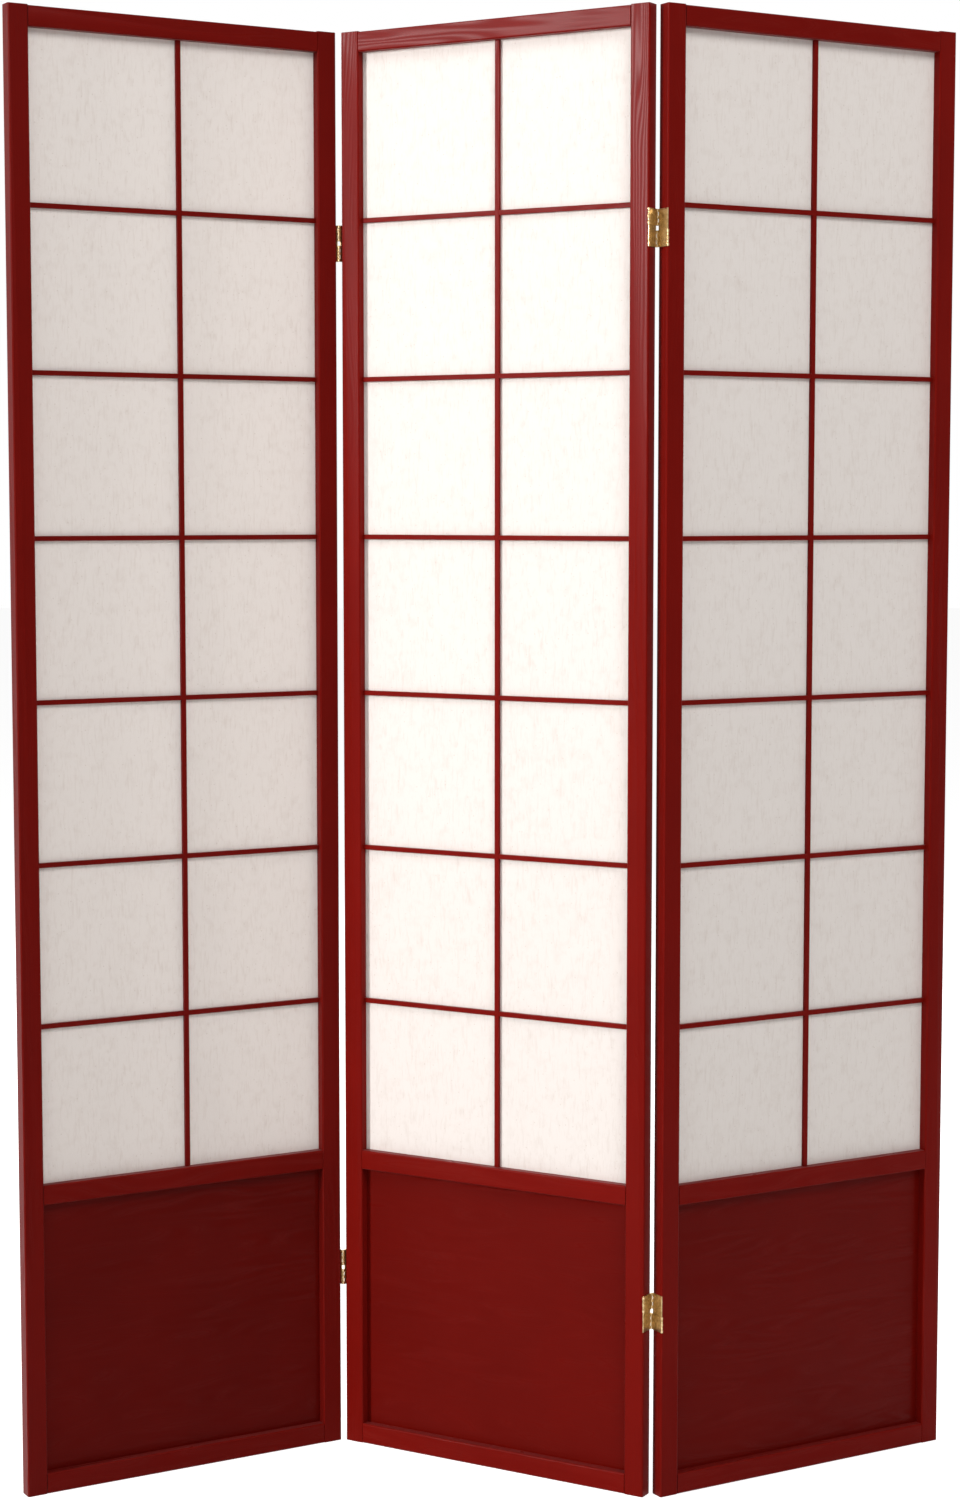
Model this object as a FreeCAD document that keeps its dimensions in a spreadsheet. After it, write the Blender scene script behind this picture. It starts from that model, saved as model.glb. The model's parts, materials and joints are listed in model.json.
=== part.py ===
import FreeCAD, Part
import Sketcher
import os
import re

# A three-leaf shoji folding screen, in millimetres.
#
# Each panel is a mortised frame of two stiles and three rails. Its upper part holds a
# half-lapped lattice with paper behind it, and its lower part a kick panel in grooves.
# Brass cross-link hinges join the panels. The screen stands in a zigzag, as it is used:
# the left panel is folded forwards about the front pins of its hinges, and the right
# panel backwards about the rear pins.
#
# Each panel is drawn in its own frame: x along its width from its left edge, y from its
# front face to its back, z up from the floor. A hinge leaf and a link are drawn in the
# gap between two panels in line: x across the gap, y as in the panel, z from mid-height.

document = FreeCAD.newDocument("ShojiScreen")

drivingSizes = {
    # panel outline
    "panelWidth": 432,
    "panelHeight": 1800,
    "panelDepth": 19,
    "edgeEase": 1.3,
    # frame members
    "stileWidth": 25.5,
    "topRailHeight": 24.5,
    "midRailHeight": 24.5,
    "bottomRailHeight": 25.5,
    "topRailDrop": 0.8,
    "kickOpening": 335.5,
    # frame joints
    "tenonLength": 14,
    "tenonThickness": 6,
    "tenonShoulder": 4,
    "tenonSetback": 4,
    "glueSpace": 0.5,
    # lattice
    "paneHeight": 191.5,
    "barWidth": 6,
    "barDepth": 4.5,
    "uprightShift": 5,
    "socketDepth": 3,
    # paper and the strips that hold it
    "paperSetback": 12,
    "paperThickness": 0.3,
    "paperTrim": 0.5,
    "rabbetWidth": 6,
    "stopSetback": 0.5,
    # kick panel
    "kickSetback": 12,
    "kickThickness": 4,
    "grooveDepth": 6,
    "grooveClearance": 0.2,
    "kickTrim": 1,
    # hinge leaves and links
    "hingeHeight": 45,
    "hingeFromTop": 260.5,
    "hingeFromFloor": 229.5,
    "linkSpacing": 5.4,
    "leafThickness": 1,
    "linkThickness": 1,
    "plateClearance": 0.15,
    "knuckleClearance": 0.15,
    "knuckleRelief": 0.25,
    "knuckleEndPlay": 0.1,
    # hinge pins
    "frontPinStandOff": 3.1,
    "rearPinStandOff": 0.3,
    "pinRadius": 0.65,
    "pinFit": 0.02,
    "pinRunningFit": 0.06,
    # standing pose
    "foldAngle": 60.4,
}

barCount = 6

# Sizes that follow from the ones above.
derivedSizes = {
    "openingWidth": "panelWidth - 2 * stileWidth",
    "midRailBase": "bottomRailHeight + kickOpening",
    "midRailTop": "midRailBase + midRailHeight",
    "topRailBase": "panelHeight - topRailDrop - topRailHeight",
    "windowHeight": "topRailBase - midRailTop",
    "barPitch": "paneHeight + barWidth",
    "firstBarBase": "midRailTop + paneHeight",
    "barSetback": "paperSetback - barDepth",
    "lapDepth": "barDepth / 2",
    "uprightLeft": "(panelWidth - barWidth) / 2 + uprightShift",
    "rabbetDepth": "panelDepth - paperSetback",
    "stopThickness": "rabbetDepth - paperThickness - stopSetback",
    "junctionGap": "2 * leafThickness + linkThickness + 2 * plateClearance",
    "pinLine": "junctionGap / 2",
    "knuckleRadius": "pinLine - knuckleClearance",
    "rearPinDepth": "panelDepth + rearPinStandOff",
    "linkHeight": "(hingeHeight - linkSpacing) / 2",
    "knuckleHeight": "linkHeight / 2",
    "plateFront": "knuckleRadius + knuckleRelief - frontPinStandOff",
    "plateRear": "rearPinDepth - knuckleRadius - knuckleRelief",
    "upperHingeCentre": "panelHeight - hingeFromTop",
}

sheet = document.addObject("Spreadsheet::Sheet", "Sizes")
for row, (alias, number) in enumerate(drivingSizes.items(), start=1):
    sheet.set(f"A{row}", alias)
    sheet.set(f"B{row}", str(number))
    sheet.setAlias(f"B{row}", alias)
document.recompute()

fits = document.addObject("App::FeaturePython", "Fits")


def formula(text):
    """Point every size named in a formula at the cell or property that holds it."""

    def target(match):
        word = match.group(0)
        if word in drivingSizes:
            return "Sizes." + word
        if word in derivedSizes:
            return "Fits." + word
        return word

    return re.sub(r"[A-Za-z]\w*", target, text)


for name, text in derivedSizes.items():
    fits.addProperty("App::PropertyFloat", name)
    fits.setExpression(name, formula(text))
document.recompute()


def size(name):
    holder = sheet if name in drivingSizes else fits
    return float(getattr(holder, name))


# ------------------------------------------------------------------ building blocks

subParts = []
alongPanel = FreeCAD.Vector(1, 0, 0)
intoPanel = FreeCAD.Vector(0, 1, 0)
upwards = FreeCAD.Vector(0, 0, 1)
straightness = 1e-6


def bindSizes(item, properties, formulas):
    for name, text in zip(properties, formulas):
        item.setExpression(name, formula(text))


def bindBase(item, corner, offset="Placement"):
    bindSizes(item, [f"{offset}.Base.{axis}" for axis in "xyz"], corner)


def originPart(body, role):
    return next(item for item in body.Origin.OriginFeatures if item.Role == role)


def addBody(label):
    body = document.addObject("PartDesign::Body", label)
    body.Label = label
    subParts.append(body)
    return body


def padRectangle(body, corner, extent):
    """A rectangle drawn in plan and padded upwards: the sawn length of a member."""
    width, depth, height = extent
    sketch = body.newObject("Sketcher::SketchObject", "Section")
    sketch.AttachmentSupport = (originPart(body, "XY_Plane"), "")
    sketch.MapMode = "FlatFace"
    bindBase(sketch, corner, "AttachmentOffset")
    roughWidth, roughDepth = 20, 10  # until the bound constraints set them
    corners = [
        FreeCAD.Vector(0, 0, 0),
        FreeCAD.Vector(roughWidth, 0, 0),
        FreeCAD.Vector(roughWidth, roughDepth, 0),
        FreeCAD.Vector(0, roughDepth, 0),
    ]
    sides = range(len(corners))
    for side in sides:
        following = (side + 1) % len(corners)
        sketch.addGeometry(Part.LineSegment(corners[side], corners[following]))
    for side in sides:
        following = (side + 1) % len(corners)
        sketch.addConstraint(Sketcher.Constraint("Coincident", side, 2, following, 1))
    sketch.addConstraint(Sketcher.Constraint("Horizontal", 0))
    sketch.addConstraint(Sketcher.Constraint("Vertical", 1))
    sketch.addConstraint(Sketcher.Constraint("Horizontal", 2))
    sketch.addConstraint(Sketcher.Constraint("Vertical", 3))
    sketch.addConstraint(Sketcher.Constraint("Coincident", 0, 1, -1, 1))
    across = sketch.addConstraint(Sketcher.Constraint("DistanceX", 0, 1, 0, 2, roughWidth))
    along = sketch.addConstraint(Sketcher.Constraint("DistanceY", 1, 1, 1, 2, roughDepth))
    bindSizes(sketch, [f"Constraints[{across}]", f"Constraints[{along}]"], [width, depth])
    pad = body.newObject("PartDesign::Pad", "Length")
    pad.Profile = sketch
    bindSizes(pad, ["Length"], [height])
    return pad


def easeEdges(body, feature, lengthwise):
    """Plane a narrow chamfer along each edge of a member."""
    document.recompute()
    names = []
    for index, edge in enumerate(feature.Shape.Edges, start=1):
        direction = edge.tangentAt(edge.FirstParameter)
        if direction.cross(lengthwise).Length < straightness:
            names.append(f"Edge{index}")
    chamfer = body.newObject("PartDesign::Chamfer", "EasedEdges")
    chamfer.Base = (feature, names)
    bindSizes(chamfer, ["Size"], ["edgeEase"])
    return chamfer


def boxFeature(body, kind, name, corner, extent):
    box = body.newObject(f"PartDesign::{kind}Box", name)
    bindSizes(box, ["Length", "Width", "Height"], extent)
    bindBase(box, corner)
    return box


def roundFeature(body, kind, name, centre, radius, height):
    cylinder = body.newObject(f"PartDesign::{kind}Cylinder", name)
    bindSizes(cylinder, ["Radius", "Height"], [radius, height])
    bindBase(cylinder, centre)
    return cylinder


def repeatUpwards(body, feature, span, count):
    pattern = body.newObject("PartDesign::LinearPattern", f"{feature.Name}Row")
    pattern.Originals = [feature]
    pattern.Direction = (originPart(body, "Z_Axis"), [""])
    pattern.Occurrences = count
    bindSizes(pattern, ["Length"], [span])
    body.Tip = pattern
    return pattern


def solidBox(name, corner, extent):
    box = document.addObject("Part::Box", name)
    bindSizes(box, ["Length", "Width", "Height"], extent)
    bindBase(box, corner)
    return box


def solidRound(name, centre, radius, height):
    cylinder = document.addObject("Part::Cylinder", name)
    bindSizes(cylinder, ["Radius", "Height"], [radius, height])
    bindBase(cylinder, centre)
    return cylinder


def group(label, members):
    """Several like pieces that share one sub-part."""
    compound = document.addObject("Part::Compound", label)
    compound.Label = label
    compound.Links = members
    subParts.append(compound)
    return compound


# -------------------------------------------------------------------- wooden frame


def innerCut(side, depth):
    """Where a cut of this depth into a stile's inner edge starts along x."""
    if side == "left":
        return f"stileWidth - ({depth})"
    return "panelWidth - stileWidth"


def stile(label, side):
    body = addBody(label)
    left = "0" if side == "left" else "panelWidth - stileWidth"
    block = padRectangle(body, (left, "0", "0"), ("stileWidth", "panelDepth", "panelHeight"))
    easeEdges(body, block, upwards)

    mortiseDepth = "tenonLength + glueSpace"
    rails = [
        ("BottomMortise", "0", "bottomRailHeight"),
        ("MidMortise", "midRailBase", "midRailHeight"),
        ("TopMortise", "topRailBase", "topRailHeight"),
    ]
    for name, base, height in rails:
        corner = (innerCut(side, mortiseDepth), "tenonSetback", f"{base} + tenonShoulder")
        extent = (mortiseDepth, "tenonThickness", f"{height} - 2 * tenonShoulder")
        boxFeature(body, "Subtractive", name, corner, extent)

    corner = (innerCut(side, "rabbetWidth"), "paperSetback", "midRailTop - rabbetWidth")
    extent = ("rabbetWidth", "rabbetDepth", "windowHeight + 2 * rabbetWidth")
    boxFeature(body, "Subtractive", "PaperRabbet", corner, extent)

    corner = (innerCut(side, "grooveDepth"), "kickSetback", "bottomRailHeight - grooveDepth")
    extent = ("grooveDepth", "kickThickness + grooveClearance", "kickOpening + 2 * grooveDepth")
    boxFeature(body, "Subtractive", "KickGroove", corner, extent)

    corner = (innerCut(side, "socketDepth"), "barSetback", "firstBarBase")
    extent = ("socketDepth", "barDepth", "barWidth")
    socket = boxFeature(body, "Subtractive", "BarSocket", corner, extent)
    repeatUpwards(body, socket, f"{barCount - 1} * barPitch", barCount)


def railBlock(label, base, height):
    """A rail between the stiles, with one stub tenon through its middle."""
    body = addBody(label)
    corner = ("stileWidth", "0", base)
    block = padRectangle(body, corner, ("openingWidth", "panelDepth", height))
    easeEdges(body, block, alongPanel)
    corner = ("stileWidth - tenonLength", "tenonSetback", f"{base} + tenonShoulder")
    extent = ("openingWidth + 2 * tenonLength", "tenonThickness", f"{height} - 2 * tenonShoulder")
    boxFeature(body, "Additive", "Tenons", corner, extent)
    return body


def cutRabbet(body, base):
    corner = ("stileWidth", "paperSetback", base)
    extent = ("openingWidth", "rabbetDepth", "rabbetWidth")
    boxFeature(body, "Subtractive", "PaperRabbet", corner, extent)


def cutGroove(body, base):
    corner = ("stileWidth", "kickSetback", base)
    extent = ("openingWidth", "kickThickness + grooveClearance", "grooveDepth")
    boxFeature(body, "Subtractive", "KickGroove", corner, extent)


def cutUprightSocket(body, base):
    corner = ("uprightLeft", "barSetback", base)
    extent = ("barWidth", "barDepth", "socketDepth")
    boxFeature(body, "Subtractive", "UprightSocket", corner, extent)


def topRail(label):
    body = railBlock(label, "topRailBase", "topRailHeight")
    cutRabbet(body, "topRailBase")
    cutUprightSocket(body, "topRailBase")


def midRail(label):
    body = railBlock(label, "midRailBase", "midRailHeight")
    cutRabbet(body, "midRailTop - rabbetWidth")
    cutUprightSocket(body, "midRailTop - socketDepth")
    cutGroove(body, "midRailBase")


def bottomRail(label):
    body = railBlock(label, "0", "bottomRailHeight")
    cutGroove(body, "bottomRailHeight - grooveDepth")


# ------------------------------------------------------- lattice, paper, kick panel


def upright(label):
    """The upright bar, notched on its back for the cross bars."""
    body = addBody(label)
    corner = ("uprightLeft", "barSetback", "midRailTop - socketDepth")
    padRectangle(body, corner, ("barWidth", "barDepth", "windowHeight + 2 * socketDepth"))
    corner = ("uprightLeft", "barSetback + lapDepth", "firstBarBase")
    notch = boxFeature(body, "Subtractive", "LapNotch", corner, ("barWidth", "lapDepth", "barWidth"))
    repeatUpwards(body, notch, f"{barCount - 1} * barPitch", barCount)


def crossBars(label):
    """The cross bars, each notched on its front and housed in the stiles at both ends."""
    bars = []
    for number in range(barCount):
        base = f"firstBarBase + {number} * barPitch"
        corner = ("stileWidth - socketDepth", "barSetback", base)
        extent = ("openingWidth + 2 * socketDepth", "barDepth", "barWidth")
        blank = solidBox(f"{label}_blank", corner, extent)
        corner = ("uprightLeft", "barSetback", base)
        notch = solidBox(f"{label}_notch", corner, ("barWidth", "lapDepth", "barWidth"))
        bar = document.addObject("Part::Cut", f"{label}_bar")
        bar.Base = blank
        bar.Tool = notch
        bars.append(bar)
    group(label, bars)


def paper(label):
    overlap = "rabbetWidth - paperTrim"
    corner = (f"stileWidth - ({overlap})", "paperSetback", f"midRailTop - ({overlap})")
    width = f"openingWidth + 2 * ({overlap})"
    height = f"windowHeight + 2 * ({overlap})"
    boxFeature(addBody(label), "Additive", "Sheet", corner, (width, "paperThickness", height))


def paperStops(label):
    """Slim strips that fill the rabbet and clamp the edge of the paper."""
    front = "paperSetback + paperThickness"
    tall = ("rabbetWidth", "stopThickness", "windowHeight + 2 * rabbetWidth")
    wide = ("openingWidth", "stopThickness", "rabbetWidth")
    strips = [
        (("stileWidth - rabbetWidth", front, "midRailTop - rabbetWidth"), tall),
        (("panelWidth - stileWidth", front, "midRailTop - rabbetWidth"), tall),
        (("stileWidth", front, "midRailTop - rabbetWidth"), wide),
        (("stileWidth", front, "topRailBase"), wide),
    ]
    group(label, [solidBox(f"{label}_strip", corner, extent) for corner, extent in strips])


def kickPanel(label):
    overlap = "grooveDepth - kickTrim"
    corner = (f"stileWidth - ({overlap})", "kickSetback", f"bottomRailHeight - ({overlap})")
    width = f"openingWidth + 2 * ({overlap})"
    height = f"kickOpening + 2 * ({overlap})"
    boxFeature(addBody(label), "Additive", "Board", corner, (width, "kickThickness", height))


# -------------------------------------------------------------------------- hinges

hingeCentres = ["upperHingeCentre", "hingeFromFloor"]
frontPin = "-frontPinStandOff"
rearPin = "rearPinDepth"
highLinkBase = "linkSpacing / 2"
lowLinkBase = "-hingeHeight / 2"


def rollKnuckle(body, name, pin, plateEdge, base):
    """A strap that leaves the plate's edge and is rolled round a pin."""
    start = plateEdge if pin == rearPin else pin
    strap = ("leafThickness - knuckleClearance", f"abs({pin} - ({plateEdge}))", "knuckleHeight")
    boxFeature(body, "Additive", f"{name}Strap", ("knuckleClearance", start, base), strap)
    centre = ("pinLine", pin, base)
    roundFeature(body, "Additive", f"{name}Knuckle", centre, "knuckleRadius", "knuckleHeight")
    roundFeature(body, "Subtractive", f"{name}Bore", centre, "pinRadius + pinFit", "knuckleHeight")


def hingeLeaf(label):
    """A leaf: a plate screwed to the stile, with one knuckle high in front and one low behind."""
    body = addBody(label)
    corner = ("0", "plateFront", "-hingeHeight / 2")
    boxFeature(body, "Additive", "Plate", corner, ("leafThickness", "plateRear - plateFront", "hingeHeight"))
    rollKnuckle(body, "Front", frontPin, "plateFront", "hingeHeight / 2 - knuckleHeight")
    rollKnuckle(body, "Rear", rearPin, "plateRear", "-hingeHeight / 2")


def hingeLink(label):
    """A link: a plate from pin to pin, notched for the leaves' knuckles beyond its own."""
    body = addBody(label)
    left = "pinLine - linkThickness / 2"
    extent = ("linkThickness", "rearPinDepth + frontPinStandOff", "linkHeight")
    boxFeature(body, "Additive", "Plate", (left, frontPin, highLinkBase), extent)
    ownHeight = "knuckleHeight - knuckleEndPlay"
    reach = "knuckleRadius + knuckleRelief"
    for name, pin in (("Front", frontPin), ("Rear", rearPin)):
        corner = (left, f"{pin} - ({reach})", f"{highLinkBase} + {ownHeight}")
        extent = ("linkThickness", f"2 * ({reach})", "knuckleHeight + knuckleEndPlay")
        boxFeature(body, "Subtractive", f"{name}Notch", corner, extent)
        centre = ("pinLine", pin, highLinkBase)
        roundFeature(body, "Additive", f"{name}Knuckle", centre, "knuckleRadius", ownHeight)
        roundFeature(body, "Subtractive", f"{name}Bore", centre, "pinRadius + pinRunningFit", ownHeight)


def hingePins(label, side):
    """The pins that ride in the leaves on one edge of a panel."""
    line = "panelWidth + pinLine" if side == "right" else "-pinLine"
    frontBase, rearBase = highLinkBase, lowLinkBase
    if side == "left":
        frontBase, rearBase = lowLinkBase, highLinkBase
    pins = []
    for centre in hingeCentres:
        for pin, base in ((frontPin, frontBase), (rearPin, rearBase)):
            foot = (line, pin, f"{centre} + {base}")
            pins.append(solidRound(f"{label}_pin", foot, "pinRadius", "linkHeight"))
    group(label, pins)


# ------------------------------------------------------------------ where each stands


def moved(x, y, z):
    return FreeCAD.Placement(FreeCAD.Vector(x, y, z), FreeCAD.Rotation())


def turned(axis, degrees):
    return FreeCAD.Placement(FreeCAD.Vector(), FreeCAD.Rotation(axis, degrees))


def foldedAbout(axis, degrees):
    return moved(*axis) * turned(upwards, degrees) * moved(*-axis)


foldAngle = size("foldAngle")
step = size("panelWidth") + size("junctionGap")
leftAxis = FreeCAD.Vector(-size("pinLine"), -size("frontPinStandOff"), 0)
rightAxis = FreeCAD.Vector(size("panelWidth") + size("pinLine"), size("rearPinDepth"), 0)
middlePose = turned(upwards, -foldAngle / 2)
poses = {
    "left": middlePose * foldedAbout(leftAxis, foldAngle) * moved(-step, 0, 0),
    "middle": middlePose,
    "right": middlePose * foldedAbout(rightAxis, foldAngle) * moved(step, 0, 0),
}
standing = []


def stand(pose):
    """Give every sub-part made since the last call its place in the standing screen."""
    for item in subParts[len(standing):]:
        item.Placement = pose
        standing.append(item)


hingedEdges = {"left": ["right"], "middle": ["left", "right"], "right": ["left"]}
for panel, pose in poses.items():
    prefix = f"{panel}_panel"
    for side in ("left", "right"):
        stile(f"{prefix}_{side}_stile", side)
    topRail(f"{prefix}_top_rail")
    midRail(f"{prefix}_mid_rail")
    bottomRail(f"{prefix}_bottom_rail")
    upright(f"{prefix}_upright")
    crossBars(f"{prefix}_cross_bars")
    paper(f"{prefix}_paper")
    paperStops(f"{prefix}_paper_stops")
    kickPanel(f"{prefix}_kick_panel")
    for side in hingedEdges[panel]:
        hingePins(f"{prefix}_{side}_hinge_pins", side)
    stand(pose)

# A leaf on a panel's left edge, and a low link, are the same pieces turned end over end.
# At the left fold the high link lies on the middle panel, at the right fold the low link
# lies on the right panel, so each link stands with the panel whose edge it lies along.
endOverEnd = turned(intoPanel, 180)
folds = [
    ("left_fold", poses["left"], poses["middle"], "right", "left"),
    ("right_fold", poses["middle"], poses["right"], "left", "right"),
]
for fold, leftPose, rightPose, highLinkSide, lowLinkSide in folds:
    for level, centre in zip(("upper", "lower"), hingeCentres):
        height = size(centre)
        onLeft = leftPose * moved(size("panelWidth"), 0, height)
        onRight = rightPose * moved(-size("junctionGap"), 0, height)
        spun = moved(size("junctionGap"), 0, 0) * endOverEnd
        sides = {"left": onLeft, "right": onRight}
        prefix = f"{fold}_{level}_hinge"
        hingeLeaf(f"{prefix}_left_leaf")
        stand(onLeft)
        hingeLeaf(f"{prefix}_right_leaf")
        stand(onRight * spun)
        hingeLink(f"{prefix}_high_link")
        stand(sides[highLinkSide])
        hingeLink(f"{prefix}_low_link")
        stand(sides[lowLinkSide] * spun)

document.recompute()

# The origin lies on the floor in the middle of the footprint.
outlineTolerance = 0.02
footprint = FreeCAD.BoundBox()
for item in subParts:
    for point in item.Shape.tessellate(outlineTolerance)[0]:
        footprint.add(point)
centring = moved(-footprint.Center.x, -footprint.Center.y, 0)
for item in subParts:
    item.Placement = centring * item.Placement
document.recompute()

# ------------------------------------------------------------------ checks and export

for item in document.Objects:
    if "Invalid" in item.State or "Error" in item.State:
        raise RuntimeError(f"{item.Name} failed: {item.State}")
leastChange = 1e-6
for body in document.findObjects("PartDesign::Body"):
    before = 0
    for feature in body.Group:
        if not feature.isDerivedFrom("PartDesign::Feature"):
            continue
        if abs(feature.Shape.Volume - before) < leastChange:
            raise RuntimeError(f"{feature.Name} in {body.Label} changes nothing")
        before = feature.Shape.Volume
for item in subParts:
    if item.Shape.isNull() or not item.Shape.isValid():
        raise RuntimeError(f"{item.Label} has no valid shape")

os.makedirs("parts", exist_ok=True)
for item in subParts:
    item.Shape.exportStep(f"parts/{item.Label}.step")

print(f"{len(subParts)} sub-parts, footprint {footprint.XLength:.1f} x {footprint.YLength:.1f}")
for name, axis in (("left", leftAxis), ("right", rightAxis)):
    foot = (centring * middlePose).multVec(axis)
    print(f"{name} fold axis stands at x {foot.x:.4f}, y {foot.y:.4f}")
restPoint = FreeCAD.Vector(size("panelWidth") / 2, size("panelDepth") / 2, 0)
foot = (centring * middlePose).multVec(restPoint)
print(f"middle panel's bottom rail rests at x {foot.x:.4f}, y {foot.y:.4f}")
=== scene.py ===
import json
import math
import random

import bmesh
import bpy
from mathutils import Matrix, Vector, noise


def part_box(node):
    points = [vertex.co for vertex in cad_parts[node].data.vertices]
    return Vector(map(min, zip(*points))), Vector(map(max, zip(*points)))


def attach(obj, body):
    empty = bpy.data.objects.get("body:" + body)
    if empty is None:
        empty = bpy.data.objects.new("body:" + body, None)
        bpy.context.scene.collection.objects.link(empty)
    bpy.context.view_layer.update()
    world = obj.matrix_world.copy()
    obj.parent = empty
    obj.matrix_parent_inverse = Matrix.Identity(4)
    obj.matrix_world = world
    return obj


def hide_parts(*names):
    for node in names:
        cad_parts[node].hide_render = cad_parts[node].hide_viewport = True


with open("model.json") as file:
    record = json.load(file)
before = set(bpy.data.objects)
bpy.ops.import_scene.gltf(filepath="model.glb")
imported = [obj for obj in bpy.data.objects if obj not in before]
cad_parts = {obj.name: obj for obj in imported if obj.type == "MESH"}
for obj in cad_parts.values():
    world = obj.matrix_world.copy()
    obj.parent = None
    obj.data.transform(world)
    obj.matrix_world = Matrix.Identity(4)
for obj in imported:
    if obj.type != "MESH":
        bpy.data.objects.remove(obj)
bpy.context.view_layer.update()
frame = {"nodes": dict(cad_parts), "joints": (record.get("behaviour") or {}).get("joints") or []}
nodes = frame["nodes"]
print("frame loaded:", len(nodes), "nodes")

mm = 0.001


# a hex colour in the linear light that the renderer works in
def linear(hexColour):
    channels = [int(hexColour[i:i + 2], 16) / 255 for i in (1, 3, 5)]
    toLinear = [c / 12.92 if c <= 0.04045 else ((c + 0.055) / 1.055) ** 2.4 for c in channels]
    return (*toLinear, 1.0)


# settings are the node's own values, links its input sockets: a value or another node's output
def addNode(tree, kind, settings=None, links=None):
    node = tree.nodes.new(kind)
    for name, value in (settings or {}).items():
        setattr(node, name, value)
    for socket, value in (links or {}).items():
        if isinstance(value, bpy.types.NodeSocket):
            tree.links.new(value, node.inputs[socket])
        else:
            node.inputs[socket].default_value = value
    return node


def newMaterial(name):
    material = bpy.data.materials.new(name)
    material.use_nodes = True
    material.node_tree.nodes.clear()
    return material, material.node_tree


# where each panel stands: it hangs on the fold lines that the frame gives

panel = {
    "width": 432 * mm,
    "height": 1800 * mm,
    "gap": 3.3 * mm,             # between two panels' edges
    "frontPin": -3.1 * mm,       # the front pins' line, from the panel's front face
    "rearPin": 19.3 * mm,        # the rear pins' line, from the same face
}


def turnZ(degrees):
    return Matrix.Rotation(math.radians(degrees), 4, "Z")


def moved(x, y, z):
    return Matrix.Translation((x, y, z))


joints = {joint["name"]: joint for joint in frame["joints"]}
halfFold = -min(joints["left_fold"]["range_deg"]) / 2
leftLine = moved(*joints["left_fold"]["pos_m"])
rightLine = moved(*joints["right_fold"]["pos_m"])
edgeToLine = panel["gap"] / 2
farLine = panel["width"] + edgeToLine

panelTurn = {"left_panel": halfFold, "middle_panel": -halfFold, "right_panel": halfFold}
panelPose = {
    "left_panel": leftLine @ turnZ(halfFold) @ moved(-farLine, -panel["frontPin"], 0),
    "middle_panel": leftLine @ turnZ(-halfFold) @ moved(edgeToLine, -panel["frontPin"], 0),
    "right_panel": rightLine @ turnZ(halfFold) @ moved(edgeToLine, -panel["rearPin"], 0),
}
print("panels stand folded by", round(2 * halfFold, 2), "degrees")


lacquer = {
    # the red stain, the paler red of the summer wood, and how much of the paler one a ring shows
    "frame": {"stain": "#6f0903", "streak": "#79140c", "contrast": 0.28},
    "kick": {"stain": "#610702", "streak": "#6a0c05", "contrast": 0.3},
    # painted light and shade: each panel's wood is drawn lighter or darker as the light falls on it
    "paintedLightTone": {"left_panel": 0.82, "middle_panel": 1.05, "right_panel": 0.97},
    "boardShift": 137 * mm,      # from one board's figure to the next one's
    "ringSpacing": 5 * mm,       # of the pine's growth rings across the board
    "archWidth": 26 * mm,        # of the arches on a plain-sawn face
    "archRings": 9.0,            # how many rings an arch crosses
    "archDetail": 1.5,
    "archRoughness": 0.4,
    "stretch": 0.1,              # the figure is ten times as long as it is wide
    "streakFrom": 0.55,          # of a ring's growth, 0 to 1: what lies above shows as a streak
    "poreWidth": 0.5 * mm,       # a real pore is 0.05 mm: drawn coarser so that it shows
    "poreCrowding": 0.7,         # pores to a pore's width
    "poreStretch": 0.03,
    "poreFrom": 0.42,            # below this the noise shows no pore, and above poreTo a full one
    "poreTo": 0.75,
    "poreShare": 0.7,            # how much the pores show next to the rings
    "cloudsPerMetre": 9.0,       # where the stain lies thicker and thinner
    "cloudFrom": 0.3,
    "cloudTo": 0.7,
    "cloudDark": 0.94,
    "cloudPale": 1.05,
    "roughness": 0.38,
    "unevenGloss": 0.11,         # how far the roughness strays between spring and summer wood
    "gloss": 0.05,
    "refraction": 1.5,
    "bloom": 0.12,               # how pale the satin lacquer turns where it is seen edge-on
    "bloomSpread": 0.3,
    "ringRelief": 0.8,           # how far the rings stand up next to the pores
    "bumpStrength": 0.5,
    "bumpHeight": 0.06 * mm,
}

# each kind of board: which way its grain runs, how straight its rings are, and which stain it took
pineCuts = {
    "upright": {"along": "z", "straightness": 1.2, "colours": lacquer["frame"]},
    "level": {"along": "x", "straightness": 0.25, "colours": lacquer["frame"]},
    "board": {"along": "x", "straightness": 0.6, "colours": lacquer["kick"]},
}


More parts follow.
